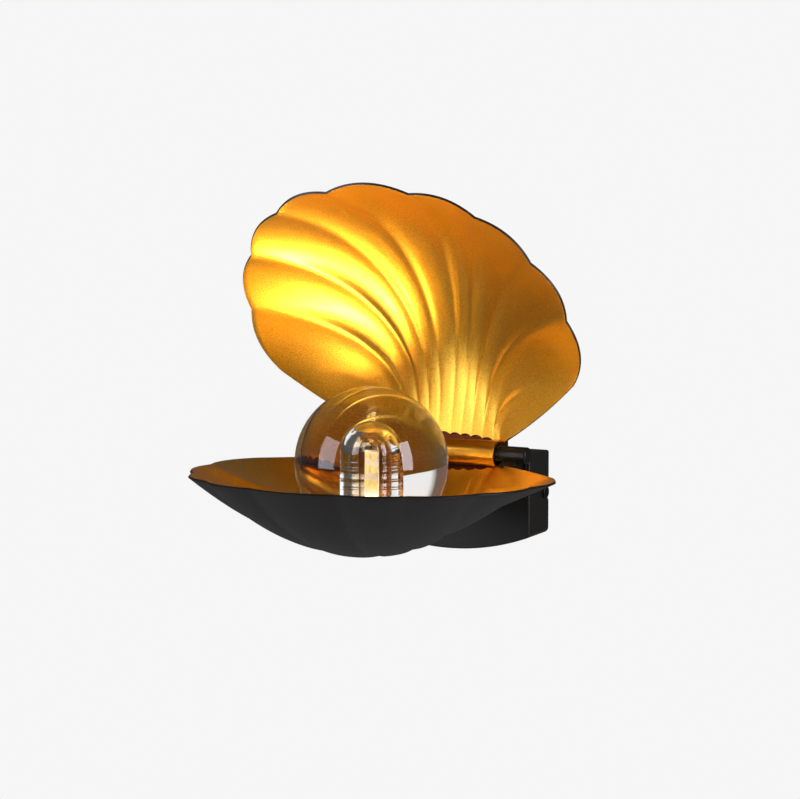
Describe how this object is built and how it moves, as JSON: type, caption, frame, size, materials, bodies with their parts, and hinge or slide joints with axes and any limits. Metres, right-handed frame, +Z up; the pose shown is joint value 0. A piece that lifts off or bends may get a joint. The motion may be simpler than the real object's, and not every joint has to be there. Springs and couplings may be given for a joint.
{
  "type": "wall sconce",
  "caption": "Open scallop shell wall light: fluted metal valves on a hinge barrel, a glass ball holding a capsule lamp in the lower valve, and a bowed wall box.",
  "frame": {"origin": "on the wall face of the wall plate, midway between the two fixing slots", "axes": "+Z up, +Y into the wall (the lamp stands out towards -Y), +X along the hinge, to the right for someone facing the wall"},
  "size_m": [0.2413, 0.2619, 0.2556],
  "materials": {
    "valve_sheet": "matte black powder coat outside, satin gold leaf paint inside",
    "black_coat": "matte black powder coat",
    "galvanised": "galvanised sheet",
    "zinc_screw": "zinc plated",
    "black_screw": "blackened, satin",
    "gold_tube": "satin lacquered",
    "bush_brass": "turned",
    "axle_steel": "ground bar",
    "black_rubber": "matte",
    "lead_sheath": "smooth sheath",
    "silicone": "soft silicone",
    "terminal_plastic": "matte",
    "seat_gold": "turned, gold anodised",
    "ball_glass": "solid clear, polished",
    "lamp_glass": "thin clear",
    "holder_ceramic": "unglazed steatite",
    "lamp_body": "smooth",
    "pin_wire": "drawn wire",
    "board": "solder masked board",
    "chips": "phosphor covered, lit"
  },
  "bodies": {
    "wall_mount": {"wall_box": "black_coat", "wall_plate": "galvanised", "cable_grommet": "black_rubber", "terminal_block": "terminal_plastic", "terminal_screws": "zinc_screw", "side_screws": "black_screw", "earth_screw": "zinc_screw", "earth_washer": "zinc_screw", "lower_shell": "valve_sheet", "lower_mouth_plate": "valve_sheet", "hinge_arm_left": "black_coat", "hinge_arm_right": "black_coat", "arm_screws": "zinc_screw", "axle": "axle_steel", "hinge_barrel": "gold_tube", "lead_grommet": "black_rubber", "barrel_bush_left": "bush_brass", "barrel_bush_right": "bush_brass", "spring_washers": "zinc_screw", "friction_washers": "zinc_screw", "ball_seat": "seat_gold", "seat_gasket": "silicone", "seat_screws": "black_screw", "lamp_lead": "lead_sheath", "glass_ball": "ball_glass", "lamp_holder": "holder_ceramic", "lamp_base": "lamp_body", "lamp_pins": "pin_wire", "lamp_board": "board", "lamp_chips": "chips", "lamp_capsule": "lamp_glass"},
    "upper_valve": {"upper_shell": "valve_sheet", "upper_mouth_plate": "valve_sheet", "upper_strap_left": "black_coat", "upper_strap_right": "black_coat"}
  },
  "joints": [
    {"name": "upper_valve_hinge", "type": "hinge", "parent": "wall_mount", "child": "upper_valve", "pos_m": [0, -0.045, 0.032], "axis": [-1, 0, 0], "range_deg": [-55, 20]}
  ]
}
